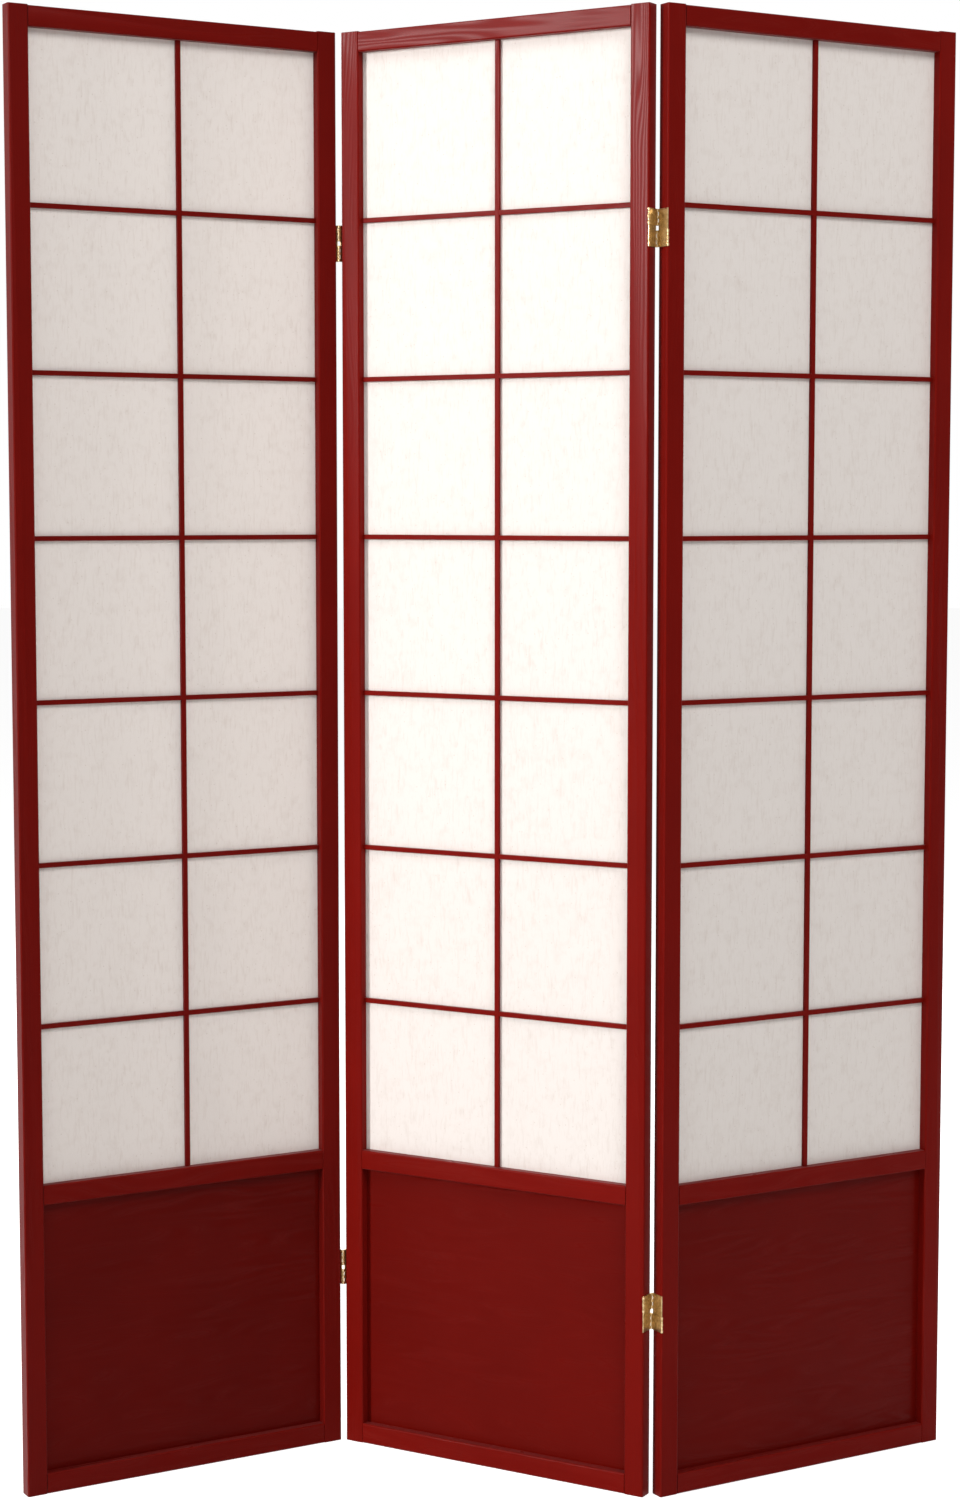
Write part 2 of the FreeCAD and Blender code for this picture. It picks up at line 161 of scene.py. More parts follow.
# pine, planed, stained red and sprayed with satin lacquer: a deep even red whose growth rings
# show only as paler streaks, with a soft wide sheen
def lacqueredPine(name, turn, paintedLightTone, cut):
    material, tree = newMaterial(name)
    place = addNode(tree, "ShaderNodeTexCoord").outputs["Object"]
    board = addNode(tree, "ShaderNodeObjectInfo").outputs["Object Index"]
    shift = addNode(tree, "ShaderNodeMath", {"operation": "MULTIPLY"},
                    {0: board, 1: lacquer["boardShift"]}).outputs[0]
    shifts = addNode(tree, "ShaderNodeCombineXYZ", None, {"X": shift, "Y": shift, "Z": shift}).outputs[0]
    squared = addNode(tree, "ShaderNodeMapping", None,
                      {"Vector": place, "Rotation": (0, 0, math.radians(-turn))}).outputs[0]
    own = addNode(tree, "ShaderNodeVectorMath", {"operation": "ADD"}, {0: squared, 1: shifts}).outputs[0]
    if cut["along"] == "x":      # a rail's grain runs along the panel, a stile's runs upwards
        own = addNode(tree, "ShaderNodeMapping", None,
                      {"Vector": own, "Rotation": (0, math.radians(90), 0)}).outputs[0]
    stretched = addNode(tree, "ShaderNodeMapping", None,
                        {"Vector": own, "Scale": (1, 1, lacquer["stretch"])}).outputs[0]
    # growth rings are contour lines of a slow noise, which gives the arches of a plain-sawn face
    ground = addNode(tree, "ShaderNodeTexNoise", None,
                     {"Vector": stretched, "Scale": 1 / lacquer["archWidth"],
                      "Detail": lacquer["archDetail"],
                      "Roughness": lacquer["archRoughness"]}).outputs["Fac"]
    axes = addNode(tree, "ShaderNodeSeparateXYZ", None, {0: own})
    across = addNode(tree, "ShaderNodeMath", {"operation": "ADD"},
                     {0: axes.outputs[0], 1: axes.outputs[1]}).outputs[0]
    straight = addNode(tree, "ShaderNodeMath", {"operation": "MULTIPLY"},
                       {0: across, 1: math.tau / lacquer["ringSpacing"] * cut["straightness"]}).outputs[0]
    phase = addNode(tree, "ShaderNodeMath", {"operation": "MULTIPLY_ADD"},
                    {0: ground, 1: math.tau * lacquer["archRings"], 2: straight}).outputs[0]
    wave = addNode(tree, "ShaderNodeMath", {"operation": "SINE"}, {0: phase}).outputs[0]
    growth = addNode(tree, "ShaderNodeMapRange", None, {"Value": wave, "From Min": -1.0}).outputs[0]
    pores = addNode(tree, "ShaderNodeMapping", None,
                    {"Vector": own, "Scale": (1, 1, lacquer["poreStretch"])}).outputs[0]
    fine = addNode(tree, "ShaderNodeTexNoise", None,
                   {"Vector": pores, "Scale": lacquer["poreCrowding"] / lacquer["poreWidth"],
                    "Detail": 2.0}).outputs["Fac"]
    cloudy = addNode(tree, "ShaderNodeTexNoise", None,
                     {"Vector": own, "Scale": lacquer["cloudsPerMetre"], "Detail": 2.0}).outputs["Fac"]
    contrast = cut["colours"]["contrast"]
    streaks = addNode(tree, "ShaderNodeMapRange", None,
                      {"Value": growth, "From Min": lacquer["streakFrom"], "To Max": contrast}).outputs[0]
    threads = addNode(tree, "ShaderNodeMapRange", None,
                      {"Value": fine, "From Min": lacquer["poreFrom"], "From Max": lacquer["poreTo"],
                       "To Max": contrast * lacquer["poreShare"]}).outputs[0]
    pale = addNode(tree, "ShaderNodeMath", {"operation": "ADD", "use_clamp": True},
                   {0: streaks, 1: threads}).outputs[0]
    colour = addNode(tree, "ShaderNodeMix", {"data_type": "RGBA"},
                     {0: pale, 6: linear(cut["colours"]["stain"]),
                      7: linear(cut["colours"]["streak"])}).outputs[2]
    # the stain is scaled by its clouds and by the panel's painted light and shade
    depth = addNode(tree, "ShaderNodeMapRange", None,
                    {"Value": cloudy, "From Min": lacquer["cloudFrom"], "From Max": lacquer["cloudTo"],
                     "To Min": lacquer["cloudDark"] * paintedLightTone,
                     "To Max": lacquer["cloudPale"] * paintedLightTone}).outputs[0]
    stained = addNode(tree, "ShaderNodeVectorMath", {"operation": "SCALE"},
                      {0: colour, "Scale": depth}).outputs[0]
    roughness = addNode(tree, "ShaderNodeMapRange", None,
                        {"Value": growth, "To Min": lacquer["roughness"] + lacquer["unevenGloss"],
                         "To Max": lacquer["roughness"] - lacquer["unevenGloss"]}).outputs[0]
    relief = addNode(tree, "ShaderNodeMath", {"operation": "MULTIPLY_ADD"},
                     {0: growth, 1: lacquer["ringRelief"], 2: fine}).outputs[0]
    bump = addNode(tree, "ShaderNodeBump", None,
                   {"Height": relief, "Strength": lacquer["bumpStrength"],
                    "Distance": lacquer["bumpHeight"]}).outputs[0]
    shader = addNode(tree, "ShaderNodeBsdfPrincipled", None,
                     {"Base Color": stained, "Roughness": roughness, "Normal": bump,
                      "IOR": lacquer["refraction"], "Specular IOR Level": lacquer["gloss"],
                      "Sheen Weight": lacquer["bloom"], "Sheen Roughness": lacquer["bloomSpread"]})
    addNode(tree, "ShaderNodeOutputMaterial", None, {"Surface": shader.outputs[0]})
    return material


washi = {
    "sheet": "#ece4de",
    "shade": "#dfd4cc",          # thinner places between the fibres
    "speck": "#c9bbaf",          # flecks of bark left in the pulp
    "mottle": 14 * mm,
    "mottleRoughness": 0.6,
    "cloudFrom": 0.5,
    "cloudTo": 0.8,
    "cloudShare": 0.5,           # how much of the shade a cloud takes at most
    "fibreWidth": 1.5 * mm,      # a real fibre is 0.03 mm wide: drawn coarser so that it shows
    "fibreCrowding": 0.5,        # fibres to a fibre's width
    "fibreStretch": 0.18,
    "fibreCurl": 0.6,
    "fibreFrom": 0.52,
    "fibreTo": 0.8,
    "fibreShare": 0.7,
    "speckSpacing": 9 * mm,
    "speckFull": 0.05,           # radius of a fleck's dark middle, as a share of the spacing
    "speckGone": 0.12,           # and of its faded rim
    "speckShare": 0.45,
    "bumpStrength": 0.2,
    "bumpHeight": 0.1 * mm,
    "roughness": 0.9,
    "refraction": 1.45,
    "gloss": 0.1,
}


# washi, mulberry fibres couched on a screen: matt and warm white, cloudy where the pulp lay
# thicker, with upright fibres and a few flecks of bark
def handmadePaper(name, turn):
    material, tree = newMaterial(name)
    place = addNode(tree, "ShaderNodeTexCoord").outputs["Object"]
    own = addNode(tree, "ShaderNodeMapping", None,
                  {"Vector": place, "Rotation": (0, 0, math.radians(-turn))}).outputs[0]
    clouds = addNode(tree, "ShaderNodeTexNoise", None,
                     {"Vector": own, "Scale": 1 / washi["mottle"], "Detail": 4.0,
                      "Roughness": washi["mottleRoughness"]}).outputs["Fac"]
    upright = addNode(tree, "ShaderNodeMapping", None,
                      {"Vector": own, "Scale": (1, 1, washi["fibreStretch"])}).outputs[0]
    fibres = addNode(tree, "ShaderNodeTexNoise", None,
                     {"Vector": upright, "Scale": washi["fibreCrowding"] / washi["fibreWidth"],
                      "Detail": 3.0, "Distortion": washi["fibreCurl"]}).outputs["Fac"]
    flecks = addNode(tree, "ShaderNodeTexVoronoi", {"feature": "F1"},
                     {"Vector": own, "Scale": 1 / washi["speckSpacing"]}).outputs["Distance"]
    cloudy = addNode(tree, "ShaderNodeMapRange", None,
                     {"Value": clouds, "From Min": washi["cloudFrom"], "From Max": washi["cloudTo"],
                      "To Max": washi["cloudShare"]}).outputs[0]
    threads = addNode(tree, "ShaderNodeMapRange", None,
                      {"Value": fibres, "From Min": washi["fibreFrom"], "From Max": washi["fibreTo"],
                       "To Max": washi["fibreShare"]}).outputs[0]
    thin = addNode(tree, "ShaderNodeMath", {"operation": "ADD", "use_clamp": True},
                   {0: cloudy, 1: threads}).outputs[0]
    colour = addNode(tree, "ShaderNodeMix", {"data_type": "RGBA"},
                     {0: thin, 6: linear(washi["sheet"]), 7: linear(washi["shade"])}).outputs[2]
    spots = addNode(tree, "ShaderNodeMapRange", None,
                    {"Value": flecks, "From Min": washi["speckFull"], "From Max": washi["speckGone"],
                     "To Min": washi["speckShare"], "To Max": 0.0}).outputs[0]
    speckled = addNode(tree, "ShaderNodeMix", {"data_type": "RGBA"},
                       {0: spots, 6: colour, 7: linear(washi["speck"])}).outputs[2]
    bump = addNode(tree, "ShaderNodeBump", None,
                   {"Height": fibres, "Strength": washi["bumpStrength"],
                    "Distance": washi["bumpHeight"]}).outputs[0]
    shader = addNode(tree, "ShaderNodeBsdfPrincipled", None,
                     {"Base Color": speckled, "Roughness": washi["roughness"], "Normal": bump,
                      "IOR": washi["refraction"], "Specular IOR Level": washi["gloss"]})
    addNode(tree, "ShaderNodeOutputMaterial", None, {"Surface": shader.outputs[0]})
    return material


plating = {
    "metal": "#d4bb90",
    "dulled": "#a08558",         # where handling has dulled the plate
    "mottle": 5 * mm,
    "dullFrom": 0.4,
    "dullTo": 0.7,
    "brightRoughness": 0.24,
    "dullRoughness": 0.42,
    "roughFrom": 0.3,
    "roughTo": 0.7,
    "grit": 0.4 * mm,            # the marks that tumbling leaves
    "bumpStrength": 0.15,
    "bumpHeight": 0.02 * mm,
}


# brass plate on pressed steel, tumbled: a warm metal that mirrors softly, duller in patches
def brassPlate(name):
    material, tree = newMaterial(name)
    place = addNode(tree, "ShaderNodeTexCoord").outputs["Object"]
    clouds = addNode(tree, "ShaderNodeTexNoise", None,
                     {"Vector": place, "Scale": 1 / plating["mottle"], "Detail": 4.0}).outputs["Fac"]
    grit = addNode(tree, "ShaderNodeTexNoise", None,
                   {"Vector": place, "Scale": 1 / plating["grit"], "Detail": 2.0}).outputs["Fac"]
    dull = addNode(tree, "ShaderNodeMapRange", None,
                   {"Value": clouds, "From Min": plating["dullFrom"],
                    "From Max": plating["dullTo"]}).outputs[0]
    colour = addNode(tree, "ShaderNodeMix", {"data_type": "RGBA"},
                     {0: dull, 6: linear(plating["metal"]), 7: linear(plating["dulled"])}).outputs[2]
    roughness = addNode(tree, "ShaderNodeMapRange", None,
                        {"Value": clouds, "From Min": plating["roughFrom"], "From Max": plating["roughTo"],
                         "To Min": plating["brightRoughness"],
                         "To Max": plating["dullRoughness"]}).outputs[0]
    bump = addNode(tree, "ShaderNodeBump", None,
                   {"Height": grit, "Strength": plating["bumpStrength"],
                    "Distance": plating["bumpHeight"]}).outputs[0]
    shader = addNode(tree, "ShaderNodeBsdfPrincipled", None,
                     {"Base Color": colour, "Metallic": 1.0, "Roughness": roughness, "Normal": bump})
    addNode(tree, "ShaderNodeOutputMaterial", None, {"Surface": shader.outputs[0]})
    return material


brass = brassPlate("tumbled_brass_plate")
wood = {}
paperMaterial = {}
for panelName, turn in panelTurn.items():
    # this panel's painted light and shade, a lit or shaded copy of the same stain
    paintedLightTone = lacquer["paintedLightTone"][panelName]
    wood[panelName] = {}
    for cutName, cut in pineCuts.items():
        wood[panelName][cutName] = lacqueredPine(f"{panelName}_lacquered_pine_{cutName}", turn, paintedLightTone, cut)
    paperMaterial[panelName] = handmadePaper(f"{panelName}_handmade_paper", turn)
print("materials made")


# the wooden pieces of the frame stay, and get their finish and their sanded edges

joinery = {
    "sandedEdge": 0.35 * mm,     # how far the sharp edges are rounded by sanding
    "latticeEdge": 0.3 * mm,
    "edgeSteps": 2,
    "edgeFrom": 40,              # degrees: flatter corners aren't sanded
    "weldWithin": 0.005 * mm,    # joins the corners that faces share
}

# each piece's cut, and how far its edges are rounded
boards = {
    "left_stile": ("upright", joinery["sandedEdge"]),
    "right_stile": ("upright", joinery["sandedEdge"]),
    "upright": ("upright", joinery["latticeEdge"]),
    "paper_stops": ("upright", None),
    "top_rail": ("level", joinery["sandedEdge"]),
    "mid_rail": ("level", joinery["sandedEdge"]),
    "bottom_rail": ("level", joinery["sandedEdge"]),
    "cross_bars": ("level", joinery["latticeEdge"]),
    "kick_panel": ("board", None),
}


def finishNode(node, material, edge=None):
    node.data.materials.clear()
    node.data.materials.append(material)
    if edge:
        weld = node.modifiers.new("joined corners", "WELD")
        weld.merge_threshold = joinery["weldWithin"]
        bevel = node.modifiers.new("sanded edges", "BEVEL")
        bevel.width = edge
        bevel.segments = joinery["edgeSteps"]
        bevel.limit_method = "ANGLE"
        bevel.angle_limit = math.radians(joinery["edgeFrom"])
        bevel.harden_normals = True


boardCount = 0
for panelName in panelPose:
    for partName, (cutName, edge) in boards.items():
        node = nodes[f"{panelName}_{partName}"]
        boardCount += 1
        node.pass_index = boardCount     # moves each board's grain, so that no two match
        finishNode(node, wood[panelName][cutName], edge)
for name, node in nodes.items():
    if name.endswith("_hinge_pins"):
        finishNode(node, brass)
print("wood finished:", boardCount, "boards")


# a finished mesh becomes a piece that rides on its body; edges stay sharp from sharpFrom degrees
def newPiece(name, bm, material, body, sharpFrom):
    bmesh.ops.recalc_face_normals(bm, faces=bm.faces)
    mesh = bpy.data.meshes.new(name)
    bm.to_mesh(mesh)
    bm.free()
    for polygon in mesh.polygons:
        polygon.use_smooth = True
    mesh.set_sharp_from_angle(angle=math.radians(sharpFrom))
    piece = bpy.data.objects.new(name, mesh)
    bpy.context.scene.collection.objects.link(piece)
    mesh.materials.append(material)
    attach(piece, body)
    return piece


# the paper: one sheet behind each lattice, a little slack between the bars

sheet = {
    "margin": 20 * mm,           # from the panel's edge to the sheet's, on both sides
    "front": 12 * mm,            # from the panel's front face to the sheet's
    "thickness": 0.3 * mm,
    "cell": 6 * mm,
    "sharpFrom": 60,
    "barPitch": 197.5 * mm,
    "firstBar": 580 * mm,        # the middle of the lowest cross bar
    "windowBase": 385.5 * mm,
    "windowTop": 1774.7 * mm,
    "windowLeft": 25.5 * mm,
    "windowRight": 406.5 * mm,
    "uprightCentre": 221 * mm,
    "slack": 0.21 * mm,          # how far it bellies back between the bars, wrinkles apart
    "fullness": 0.6,             # below 1 the belly is flat in the middle and steep at the bars
    "wrinkle": 0.22 * mm,
    "sagFade": 1.6,              # how fast the sag's wrinkles fade up each bay
    "waveAcross": 55,            # per metre
    "waveUp": 14,
    "waveLayer": 1.7,            # takes each sheet's waves from another layer of the noise
    "waveBase": 0.35,            # the share of the waves that is there without sag
    "creaseAcross": 22,          # per metre, and how far the creases lean
    "creaseUp": 40,
    "leanAcross": 9,
    "leanUp": 11,
    "creaseSharpness": 5,
    "creaseShare": 0.8,
    "firstSeed": 3.1,
    "seedStep": 7.7,
}


# the window's edges, and each step of the bars' pitch between them
def heldLines():
    lines = [sheet["windowBase"]]
    while lines[-1] < sheet["windowTop"] - sheet["barPitch"]:
        lines.append(sheet["firstBar"] + (len(lines) - 1) * sheet["barPitch"])
    return lines + [sheet["windowTop"]]


# 0 at a line and 1 halfway between two, and how far up its bay the value lies
def between(value, lines):
    for low, high in zip(lines, lines[1:]):
        if low <= value <= high:
            part = (value - low) / (high - low)
            return math.sin(math.pi * part), part
    return 0.0, 0.0


acrossLines = [sheet["windowLeft"], sheet["uprightCentre"], sheet["windowRight"]]
upLines = heldLines()


def paperDepth(x, z, seed):
    acrossBulge, _ = between(x, acrossLines)
    upBulge, partUp = between(z, upLines)
    bulge = acrossBulge ** sheet["fullness"] * upBulge ** sheet["fullness"]
    sag = max(0.0, 1 - partUp * sheet["sagFade"])        # the sheet has sagged to the bottom of each bay
    wavePlace = (x * sheet["waveAcross"] + seed, z * sheet["waveUp"], seed * sheet["waveLayer"])
    wave = (1 + noise.noise(Vector(wavePlace))) / 2
    creasePlace = (x * sheet["creaseAcross"] - z * sheet["leanAcross"] + seed,
                   z * sheet["creaseUp"] + x * sheet["leanUp"], seed)
    crease = max(0.0, 1 - abs(noise.noise(Vector(creasePlace))) * sheet["creaseSharpness"])
    wrinkles = wave * (sheet["waveBase"] + sag) + crease * sag * sheet["creaseShare"]
    return bulge * (sheet["slack"] + sheet["wrinkle"] * wrinkles)


def makePaper(panelName, seed):
    low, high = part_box(f"{panelName}_paper")
    pose = panelPose[panelName]
    width = panel["width"] - 2 * sheet["margin"]
    columns = round(width / sheet["cell"])
    rows = round((high.z - low.z) / sheet["cell"])
    bm = bmesh.new()
    grids = []
    for behind in (0, sheet["thickness"]):
        grid = []
        for row in range(rows + 1):
            z = low.z + (high.z - low.z) * row / rows
            line = []
            for column in range(columns + 1):
                x = sheet["margin"] + width * column / columns
                y = sheet["front"] + paperDepth(x, z, seed) + behind
                line.append(bm.verts.new(pose @ Vector((x, y, z))))
            grid.append(line)
        for lower, upper in zip(grid, grid[1:]):
            for i in range(columns):
                bm.faces.new((lower[i], lower[i + 1], upper[i + 1], upper[i]))
        grids.append(grid)
    front, back = grids
    rims = [(front[0], back[0]), (front[-1], back[-1]),
            ([line[0] for line in front], [line[0] for line in back]),
            ([line[-1] for line in front], [line[-1] for line in back])]
    for near, far in rims:
        for i in range(len(near) - 1):
            bm.faces.new((near[i], near[i + 1], far[i + 1], far[i]))
    piece = newPiece(f"{panelName}_paper_sheet", bm, paperMaterial[panelName], panelName,
                     sheet["sharpFrom"])
    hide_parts(f"{panelName}_paper")


for number, panelName in enumerate(panelPose):
    makePaper(panelName, sheet["firstSeed"] + number * sheet["seedStep"])
print("paper sheets made")


# the double-action hinges: leaves and links rolled round four pins, and their screws

hinge = {
    "height": 45 * mm,
    "fromTop": 260.5 * mm,
    "fromFloor": 229.5 * mm,
    "metal": 1 * mm,
    "platesFrom": -1.35 * mm,    # the leaf's front and rear edges
    "platesTo": 17.55 * mm,
    "linkHeight": 19.8 * mm,
    "knuckles": 5,               # leaf, link, leaf, link, leaf on every pin
    "knuckleRadius": 1.5 * mm,
    "linkKnuckle": 1.2 * mm,     # the links are rolled tighter than the leaves
    "knuckleEase": 0.4 * mm,
    "bore": 0.68 * mm,
    "linkBore": 0.7 * mm,
    "linkStrap": 0.9 * mm,       # from the pin's middle to where a link's strap starts
    "endPlay": 0.15 * mm,
    "relief": 0.25 * mm,
    "clearance": 0.15 * mm,
    "facets": 20,
    "sharpFrom": 30,
    "screwDepth": 8.1 * mm,
    "screwSpread": 12.6 * mm,
    "screwHead": 2.2 * mm,
    "screwShank": 1.1 * mm,
    "screwLength": 12 * mm,
    "headRoom": 0.03 * mm,       # between a screw and its hole
    "shankRoom": 0.1 * mm,
    "headSunk": 0.02 * mm,
    "headFace": 0.98,            # the flat face's share of the head's radius
    "headRim": 0.12 * mm,
    "headCone": 1.2 * mm,        # from the face to the countersink's foot
    "taperFrom": 8 * mm,
    "point": 0.15 * mm,
    "slotWidth": 0.5 * mm,
    "slotDepth": 0.45 * mm,
    "slotEnds": 0.27 * mm,       # the slot is shallower at the rim
    "turnSeed": 14,              # for how far each screw was driven round
}
pinX = panel["gap"] / 2
slotHeight = hinge["linkHeight"] / hinge["knuckles"]
highBase = hinge["height"] / 2 - hinge["linkHeight"]
lowBase = -hinge["height"] / 2
leafKnuckles = range(0, hinge["knuckles"], 2)
linkKnuckles = range(1, hinge["knuckles"], 2)
screwHoles = [(hinge["screwDepth"], side * hinge["screwSpread"]) for side in (-1, 1)]
facetAngles = [2 * math.pi * i / hinge["facets"] for i in range(hinge["facets"])]


def addBlock(bm, low, high):
    corners = [bm.verts.new((x, y, z))
               for x in (low[0], high[0]) for y in (low[1], high[1]) for z in (low[2], high[2])]
    for face in ((0, 1, 3, 2), (4, 6, 7, 5), (0, 4, 5, 1), (2, 3, 7, 6), (0, 2, 6, 4), (1, 5, 7, 3)):
        bm.faces.new([corners[i] for i in face])


def joinRings(bm, ring, following):
    for i in range(len(ring)):
        j = (i + 1) % len(ring)
        bm.faces.new((ring[i], ring[j], following[j], following[i]))


# a knuckle: a short tube whose rims are eased, so that a dark groove shows between two
def addTube(bm, centre, outer, inner, base, top):
    ease = hinge["knuckleEase"]
    profile = ((outer - ease, base), (outer, base + ease), (outer, top - ease), (outer - ease, top),
               (inner, top), (inner, base))
    rings = []
    for radius, z in profile:
        rings.append([bm.verts.new((centre[0] + radius * math.cos(a), centre[1] + radius * math.sin(a), z))
                      for a in facetAngles])
    for ring, following in zip(rings, rings[1:] + rings[:1]):
        joinRings(bm, ring, following)


# a leaf's share of a pin's knuckles, each with the strap that it is rolled from
def addLeafKnuckles(bm, pinY, base, plateEdge):
    start, end = sorted((pinY, plateEdge))
    for slotNumber in leafKnuckles:
        low = base + slotNumber * slotHeight
        high = low + slotHeight - hinge["endPlay"]
        addTube(bm, (pinX, pinY), hinge["knuckleRadius"], hinge["bore"], low, high)
        addBlock(bm, (hinge["clearance"], start, low), (hinge["metal"], end, high))


# the leaf: a flat plate whose holes are countersunk from the side that faces the links
def addDrilledPlate(bm):
    outline = [(hinge["platesFrom"], lowBase), (hinge["platesTo"], lowBase),
               (hinge["platesTo"], -lowBase), (hinge["platesFrom"], -lowBase)]
    sides = ((hinge["metal"], hinge["screwHead"] + hinge["headRoom"]),
             (0.0, hinge["screwShank"] + hinge["shankRoom"]))
    loopsOfSides = []
    for x, radius in sides:
        loops = [[bm.verts.new((x, y, z)) for y, z in outline]]
        for y, z in screwHoles:
            loops.append([bm.verts.new((x, y + radius * math.cos(a), z + radius * math.sin(a)))
                          for a in facetAngles])
        edges = [bm.edges.new((a, b)) for loop in loops for a, b in zip(loop, loop[1:] + loop[:1])]
        bmesh.ops.triangle_fill(bm, edges=edges, use_beauty=True)
        loopsOfSides.append(loops)
    for front, back in zip(*loopsOfSides):
        joinRings(bm, front, back)


def leafMesh():
    bm = bmesh.new()
    addDrilledPlate(bm)
    addLeafKnuckles(bm, panel["frontPin"], highBase, hinge["platesFrom"])
    addLeafKnuckles(bm, panel["rearPin"], lowBase, hinge["platesTo"])
    return bm


# the plate between two pins, notched round the leaves' knuckles
def linkMesh():
    bm = bmesh.new()
    reach = hinge["knuckleRadius"] + hinge["relief"]
    near, far = pinX - hinge["metal"] / 2, pinX + hinge["metal"] / 2
    top = highBase + hinge["linkHeight"]
    addBlock(bm, (near, panel["frontPin"] + reach, highBase), (far, panel["rearPin"] - reach, top))
    for pinY, toPlate in ((panel["frontPin"], 1), (panel["rearPin"], -1)):
        start, end = sorted((pinY + toPlate * hinge["linkStrap"], pinY + toPlate * reach))
        for slotNumber in linkKnuckles:
            low = highBase + slotNumber * slotHeight
            high = low + slotHeight - hinge["endPlay"]
            addTube(bm, (pinX, pinY), hinge["linkKnuckle"], hinge["linkBore"], low, high)
            addBlock(bm, (near, start, low), (far, end, high))
    return bm


# a countersunk wood screw lying along -x, its slotted head flush with the leaf
def screwMesh(y, z, spin):
    bm = bmesh.new()
    head, shank = hinge["screwHead"], hinge["screwShank"]
    face = hinge["metal"] - hinge["headSunk"]
    profile = [(face, head * hinge["headFace"]), (face - hinge["headRim"], head),
               (face - hinge["headCone"], shank), (face - hinge["taperFrom"], shank),
               (face - hinge["screwLength"], hinge["point"])]
    rings = [[bm.verts.new((x, radius * math.cos(a), radius * math.sin(a))) for a in facetAngles]
             for x, radius in profile]
    for ring, following in zip(rings, rings[1:]):
        joinRings(bm, ring, following)
    bm.faces.new(rings[-1])
    # the head's face is cut by a slot from rim to rim, and the rim dips at the slot's two ends
    half = hinge["slotWidth"] / 2
    slotFloor = face - hinge["slotDepth"]
    rim = sorted(rings[0], key=lambda corner: corner.co.y)
    upper = [corner for corner in rim if corner.co.z > half]
    lower = [corner for corner in rim if corner.co.z < -half]
    left, right = [corner for corner in rim if abs(corner.co.z) <= half]
    for corner in (left, right):
        corner.co.x = face - hinge["slotEnds"]
    wallUp = [bm.verts.new((face, corner.co.y, half)) for corner in (upper[0], upper[-1])]
    floorUp = [bm.verts.new((slotFloor, corner.co.y, half)) for corner in (upper[0], upper[-1])]
    wallLow = [bm.verts.new((face, corner.co.y, -half)) for corner in (lower[0], lower[-1])]
    floorLow = [bm.verts.new((slotFloor, corner.co.y, -half)) for corner in (lower[0], lower[-1])]
    bm.faces.new([wallUp[0], *upper, wallUp[1]])
    bm.faces.new([wallLow[0], *lower, wallLow[1]])
    bm.faces.new((wallUp[0], wallUp[1], floorUp[1], floorUp[0]))
    bm.faces.new((wallLow[0], wallLow[1], floorLow[1], floorLow[0]))
    bm.faces.new((floorUp[0], floorUp[1], floorLow[1], floorLow[0]))
    for end, corner in ((0, left), (-1, right)):
        bm.faces.new((wallUp[end], floorUp[end], corner, upper[end]))
        bm.faces.new((wallLow[end], floorLow[end], corner, lower[end]))
        bm.faces.new((floorUp[end], floorLow[end], corner))
    bmesh.ops.rotate(bm, verts=bm.verts, cent=(0, 0, 0), matrix=Matrix.Rotation(spin, 3, "X"))
    bmesh.ops.translate(bm, verts=bm.verts, vec=(0, y, z))
    return bm


def placed(bm, pose):
    bmesh.ops.transform(bm, matrix=pose, verts=bm.verts)
    return bm


# each fold's left and right panel, then the panels that its high and low links stay with
folds = {
    "left_fold": ("left_panel", "middle_panel", "middle_panel", "left_panel"),
    "right_fold": ("middle_panel", "right_panel", "middle_panel", "right_panel"),
}
hingeHeights = {"upper": panel["height"] - hinge["fromTop"], "lower": hinge["fromFloor"]}
turnedOver = moved(panel["gap"], 0, 0) @ Matrix.Rotation(math.pi, 4, "Y")
screwdriver = random.Random(hinge["turnSeed"])

pieceCount = 0
for foldName, (leftBody, rightBody, highBody, lowBody) in folds.items():
    for level, height in hingeHeights.items():
        stem = f"{foldName}_{level}_hinge"
        onLeft = panelPose[leftBody] @ moved(panel["width"], 0, height)
        onRight = panelPose[rightBody] @ moved(-panel["gap"], 0, height)
        highOn = onLeft if highBody == leftBody else onRight
        lowOn = onLeft if lowBody == leftBody else onRight
        plates = (("left_leaf", leafMesh, onLeft, leftBody),
                  ("right_leaf", leafMesh, onRight @ turnedOver, rightBody),
                  ("high_link", linkMesh, highOn, highBody),
                  ("low_link", linkMesh, lowOn @ turnedOver, lowBody))
        for plateName, mesh, pose, body in plates:
            piece = newPiece(f"{stem}_rolled_{plateName}", placed(mesh(), pose), brass, body,
                             hinge["sharpFrom"])
            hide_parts(f"{stem}_{plateName}")
            pieceCount += 1
            if mesh is leafMesh:
                for number, (y, z) in enumerate(screwHoles):
                    screw = placed(screwMesh(y, z, screwdriver.uniform(0, math.pi)), pose)
                    newPiece(f"{stem}_{plateName}_screw_{number + 1}", screw, brass, body,
                             hinge["sharpFrom"])
                    pieceCount += 1
print("hinges made:", pieceCount, "pieces")


# the floor, the white backdrop and the lamps

studio = {
    "floorSize": 60.0,
    "floorDrop": 0.5 * mm,       # keeps the floor clear of the stiles' lower ends
    "floorColour": "#e8e8e8",
    "glow": 0.72,                # the share of white that the floor shows even in shadow
    "fill": 118.0,               # watts
    "fillPlace": (1.7, -3.4, 4.5),
    "fillSize": (2.0, 2.4),
    "key": 374.0,                # stands far off, so that it lights the screen evenly from top to bottom
    "keyPlace": (-6.02, -3.71, 2.7),
    "keySize": (0.9, 1.8),
    "sheen": 345.0,              # what the lacquer and the brass mirror, without diffuse light
    "sheenPlace": (-3.55, -1.78, 3.0),
    "sheenSize": (1.5, 1.6),
    "back": 130.0,               # so that the screen's back is well lit too
    "backPlace": (-0.8, 3.8, 3.4),
    "backSize": (3.0, 3.0),
    "room": 0.29,                # the light that comes from all round
    "aim": (0.0, 0.0, 1.0),
}
white = (1.0, 1.0, 1.0, 1.0)


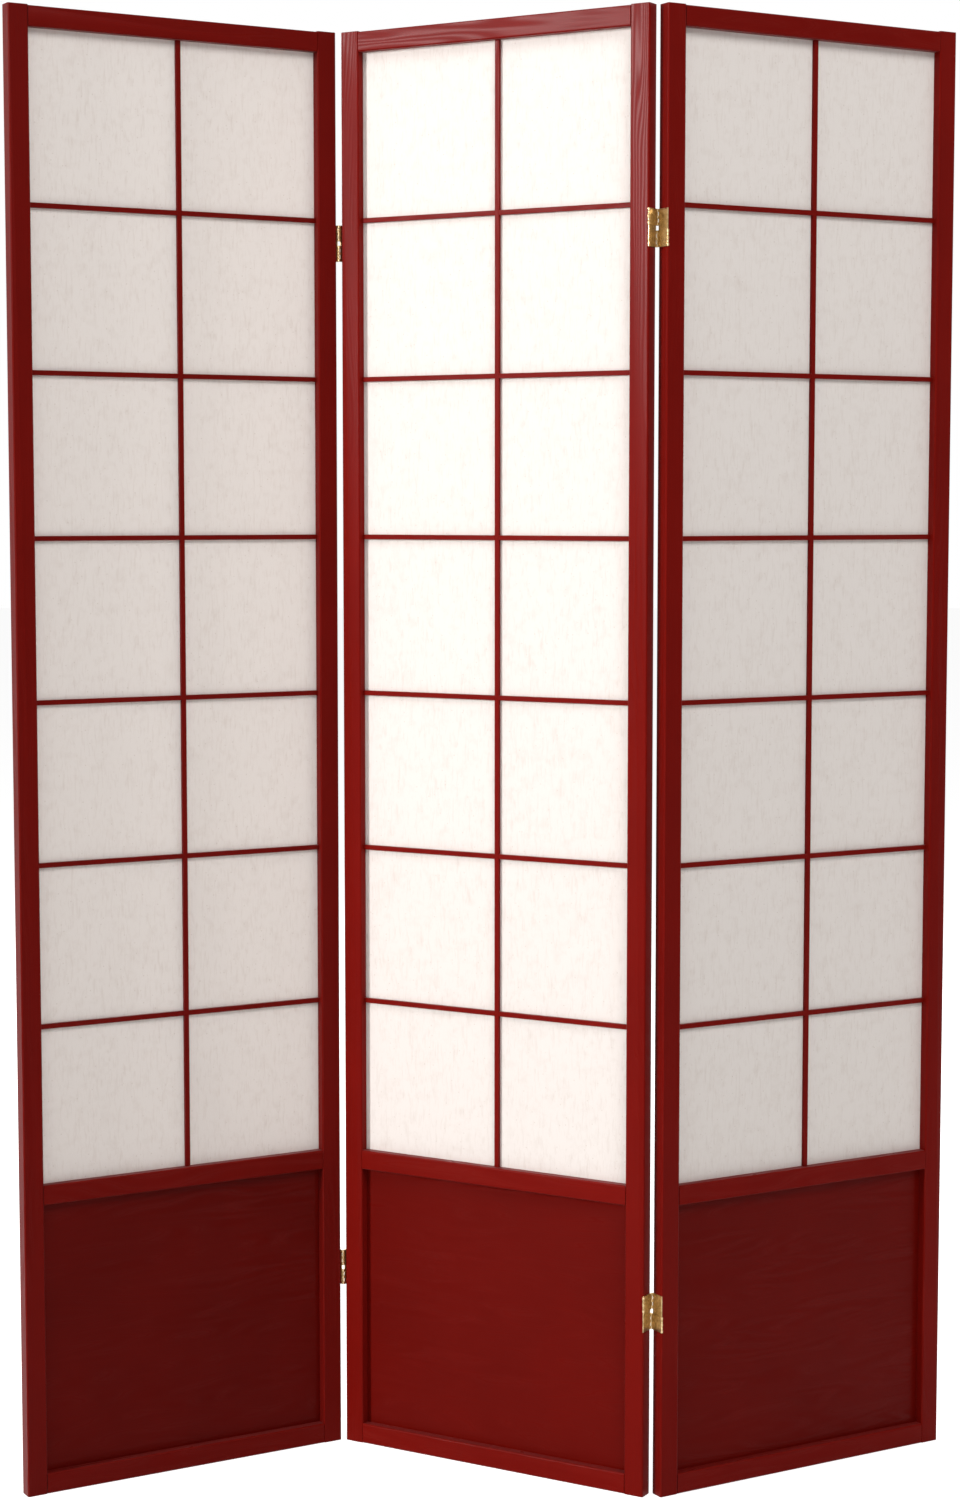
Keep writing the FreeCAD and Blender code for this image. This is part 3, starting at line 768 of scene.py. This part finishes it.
# 1 for the rays that show the background: the camera's, a mirror's and those through glass
def seenRays(tree):
    path = addNode(tree, "ShaderNodeLightPath")
    mirror = addNode(tree, "ShaderNodeMath", {"operation": "MAXIMUM"},
                     {0: path.outputs["Is Camera Ray"], 1: path.outputs["Is Glossy Ray"]}).outputs[0]
    return addNode(tree, "ShaderNodeMath", {"operation": "MAXIMUM"},
                   {0: mirror, 1: path.outputs["Is Transmission Ray"]}).outputs[0]


def makeFloor():
    bm = bmesh.new()
    half = studio["floorSize"] / 2
    corners = ((-half, -half), (half, -half), (half, half), (-half, half))
    bm.faces.new([bm.verts.new((x, y, 0)) for x, y in corners])
    mesh = bpy.data.meshes.new("studio_floor")
    bm.to_mesh(mesh)
    bm.free()
    floor = bpy.data.objects.new("studio_floor", mesh)
    floor.location.z = -studio["floorDrop"]
    bpy.context.scene.collection.objects.link(floor)
    # matt pale paint that also glows, so that it runs into the backdrop with hardly a line
    material, tree = newMaterial("painted_floor")
    paint = addNode(tree, "ShaderNodeBsdfDiffuse", None,
                    {"Color": linear(studio["floorColour"])}).outputs[0]
    glow = addNode(tree, "ShaderNodeMath", {"operation": "MULTIPLY"},
                   {0: seenRays(tree), 1: studio["glow"]}).outputs[0]
    shine = addNode(tree, "ShaderNodeEmission", None, {"Color": white, "Strength": glow}).outputs[0]
    both = addNode(tree, "ShaderNodeAddShader", None, {0: paint, 1: shine}).outputs[0]
    addNode(tree, "ShaderNodeOutputMaterial", None, {"Surface": both})
    mesh.materials.append(material)


makeFloor()

world = bpy.data.worlds.new("white_studio")
bpy.context.scene.world = world
world.use_nodes = True
sky = world.node_tree
sky.nodes.clear()
roomLight = addNode(sky, "ShaderNodeMapRange", None,
                    {"Value": seenRays(sky), "To Min": studio["room"], "To Max": 1.0}).outputs[0]
skyLight = addNode(sky, "ShaderNodeBackground", None, {"Color": white, "Strength": roomLight}).outputs[0]
addNode(sky, "ShaderNodeOutputWorld", None, {"Surface": skyLight})


def softbox(name, watts, place, size):
    lamp = bpy.data.lights.new(name, "AREA")
    lamp.shape = "RECTANGLE"
    lamp.size, lamp.size_y = size
    lamp.energy = watts
    holder = bpy.data.objects.new(name, lamp)
    holder.location = place
    holder.rotation_euler = (Vector(studio["aim"]) - Vector(place)).to_track_quat("-Z", "Y").to_euler()
    bpy.context.scene.collection.objects.link(holder)
    return holder


softbox("fill_softbox", studio["fill"], studio["fillPlace"], studio["fillSize"])
softbox("back_softbox", studio["back"], studio["backPlace"], studio["backSize"])
keyLamp = softbox("key_softbox", studio["key"], studio["keyPlace"], studio["keySize"])
keyLamp.visible_glossy = False
sheenLamp = softbox("sheen_softbox", studio["sheen"], studio["sheenPlace"], studio["sheenSize"])
sheenLamp.visible_diffuse = False
bpy.context.scene.view_settings.view_transform = "Standard"
print("studio lit")


# the camera stands at chest height and looks a little down

view = {
    "place": (-0.01274, -3.50981, 1.21309),
    "yaw": 0.05,                 # degrees to the left
    "down": 4.933,
    "focal": 68.229,             # millimetres, as the sensor is
    "sensor": 36,                # along the picture's long side
}
camera = bpy.data.objects.new("camera", bpy.data.cameras.new("camera"))
camera.location = view["place"]
camera.rotation_euler = (math.radians(90 - view["down"]), 0, math.radians(view["yaw"]))
camera.data.sensor_width = view["sensor"]
camera.data.lens = view["focal"]
bpy.context.scene.collection.objects.link(camera)
bpy.context.scene.camera = camera

print("scene ready")
